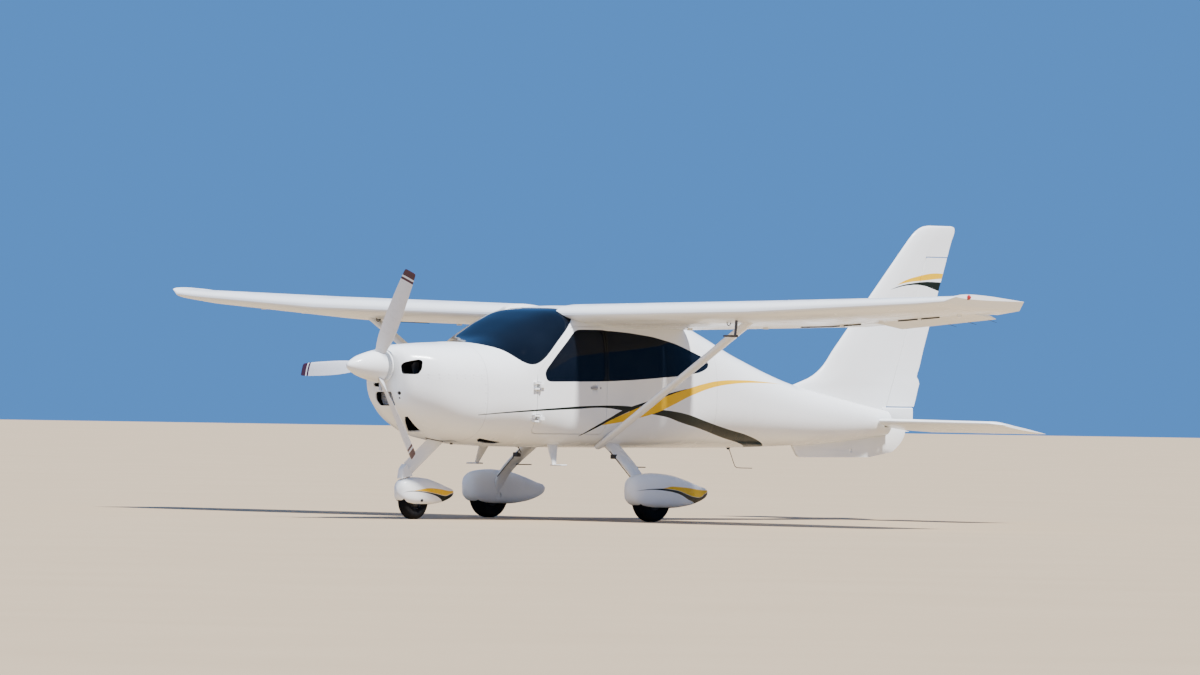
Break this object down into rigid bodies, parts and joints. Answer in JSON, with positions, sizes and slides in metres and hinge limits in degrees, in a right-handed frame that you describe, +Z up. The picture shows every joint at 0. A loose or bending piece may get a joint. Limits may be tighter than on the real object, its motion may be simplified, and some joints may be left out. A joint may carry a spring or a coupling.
{
  "type": "high-wing light aircraft",
  "caption": "Strut-braced high-wing light aircraft with hollow cabin, fixed faired nose-wheel gear, turning propeller and wheels, opening doors and moving control surfaces.",
  "frame": {"origin": "on the ground, under the middle of the overall length, on the middle plane", "axes": "+Z up, -Y towards the nose, +X towards the aircraft's left wing"},
  "size_m": [9.02, 6.97, 2.458],
  "materials": {
    "white_paint": "glossy white paint over composite",
    "blade_paint": "pale grey-white blade paint",
    "tinted_glass": "dark tinted glazing",
    "engine_metal": "cast metal",
    "alloy": "bare alloy",
    "steel": "grey painted steel",
    "tyre": "black tyre rubber",
    "seat_leather": "dark leather",
    "black_plastic": "matt black"
  },
  "bodies": {
    "airframe": {"cabin_shell": "white_paint", "tail_cone": "white_paint", "fin": "white_paint", "ventral_fin": "white_paint", "cowl_upper": "white_paint", "cowl_lower": "white_paint", "engine_block": "engine_metal", "radiator": "alloy", "windshield": "tinted_glass", "rear_window_left": "tinted_glass", "rear_window_right": "tinted_glass", "wing_left": "white_paint", "wing_right": "white_paint", "strut_left": "white_paint", "strut_right": "white_paint", "nose_leg": "white_paint", "left_main_leg": "white_paint", "right_main_leg": "white_paint", "left_main_pant": "white_paint", "right_main_pant": "white_paint", "entry_step_left": "steel", "entry_step_right": "steel", "seat_left": "seat_leather", "seat_right": "seat_leather", "instrument_panel": "black_plastic", "control_sticks": "black_plastic", "pitot_tube": "alloy", "whip_antenna": "black_plastic"},
    "propeller": {"spinner": "white_paint", "propeller_backplate": "alloy", "blade_1": "blade_paint", "blade_2": "blade_paint", "blade_3": "blade_paint"},
    "nose_steering": {"nose_fork": "steel", "nose_pant": "white_paint"},
    "nose_wheel": {"nose_tyre": "tyre", "nose_rim": "alloy"},
    "left_wheel": {"left_main_tyre": "tyre", "left_main_rim": "alloy"},
    "right_wheel": {"right_main_tyre": "tyre", "right_main_rim": "alloy"},
    "left_door": {"door_left": "white_paint", "door_glass_left": "tinted_glass"},
    "right_door": {"door_right": "white_paint", "door_glass_right": "tinted_glass"},
    "left_flap": {"flap_left": "white_paint"},
    "right_flap": {"flap_right": "white_paint"},
    "left_aileron": {"aileron_left": "white_paint"},
    "right_aileron": {"aileron_right": "white_paint"},
    "stabilator": {"stabilator": "white_paint"},
    "trim_tabs": {"trim_tab_left": "white_paint", "trim_tab_right": "white_paint"},
    "rudder": {"rudder": "white_paint"}
  },
  "joints": [
    {"name": "propeller_spin", "type": "hinge", "parent": "airframe", "child": "propeller", "pos_m": [0, -3.16, 1.22], "axis": [0, -1, 0], "continuous": true},
    {"name": "nose_steer", "type": "hinge", "parent": "airframe", "child": "nose_steering", "pos_m": [0, -2.795, 0.35], "axis": [0, 0, 1], "range_deg": [-20, 20]},
    {"name": "nose_wheel_spin", "type": "hinge", "parent": "nose_steering", "child": "nose_wheel", "pos_m": [0, -2.739, 0.142], "axis": [1, 0, 0], "continuous": true},
    {"name": "left_wheel_spin", "type": "hinge", "parent": "airframe", "child": "left_wheel", "pos_m": [0.937, -0.988, 0.18], "axis": [1, 0, 0], "continuous": true},
    {"name": "right_wheel_spin", "type": "hinge", "parent": "airframe", "child": "right_wheel", "pos_m": [-0.937, -0.988, 0.18], "axis": [1, 0, 0], "continuous": true},
    {"name": "left_door_swing", "type": "hinge", "parent": "airframe", "child": "left_door", "pos_m": [0.612, -1.923, 0.95], "axis": [0, 0, -1], "range_deg": [0, 80]},
    {"name": "right_door_swing", "type": "hinge", "parent": "airframe", "child": "right_door", "pos_m": [-0.612, -1.923, 0.95], "axis": [0, 0, 1], "range_deg": [0, 80]},
    {"name": "left_flap_hinge", "type": "hinge", "parent": "airframe", "child": "left_flap", "pos_m": [0.64, -0.5, 1.5627], "axis": [-0.9997, 0, -0.0263], "range_deg": [0, 40]},
    {"name": "right_flap_hinge", "type": "hinge", "parent": "airframe", "child": "right_flap", "pos_m": [-0.64, -0.5, 1.5627], "axis": [-0.9997, 0, 0.0263], "range_deg": [0, 40]},
    {"name": "left_aileron_hinge", "type": "hinge", "parent": "airframe", "child": "left_aileron", "pos_m": [2.95, -0.535, 1.65372], "axis": [-0.996, 0.0664, -0.0594], "range_deg": [-25, 9]},
    {"name": "right_aileron_hinge", "type": "hinge", "parent": "airframe", "child": "right_aileron", "pos_m": [-2.95, -0.535, 1.65372], "axis": [-0.996, -0.0664, 0.0594], "range_deg": [-9, 25]},
    {"name": "stabilator_pivot", "type": "hinge", "parent": "airframe", "child": "stabilator", "pos_m": [0, 2.627, 0.806], "axis": [-1, 0, 0], "range_deg": [-20, 3]},
    {"name": "trim_tab_hinge", "type": "hinge", "parent": "stabilator", "child": "trim_tabs", "pos_m": [0, 2.99142, 0.75479], "axis": [-1, 0, 0], "range_deg": [-15, 15]},
    {"name": "rudder_hinge", "type": "hinge", "parent": "airframe", "child": "rudder", "pos_m": [0, 2.688, 0.94], "axis": [0, 0.339, 0.9408], "range_deg": [-25, 25]}
  ],
  "couplings": [
    {"joint": "right_flap_hinge", "follows": "left_flap_hinge", "ratio": 1},
    {"joint": "right_aileron_hinge", "follows": "left_aileron_hinge", "ratio": -1}
  ]
}
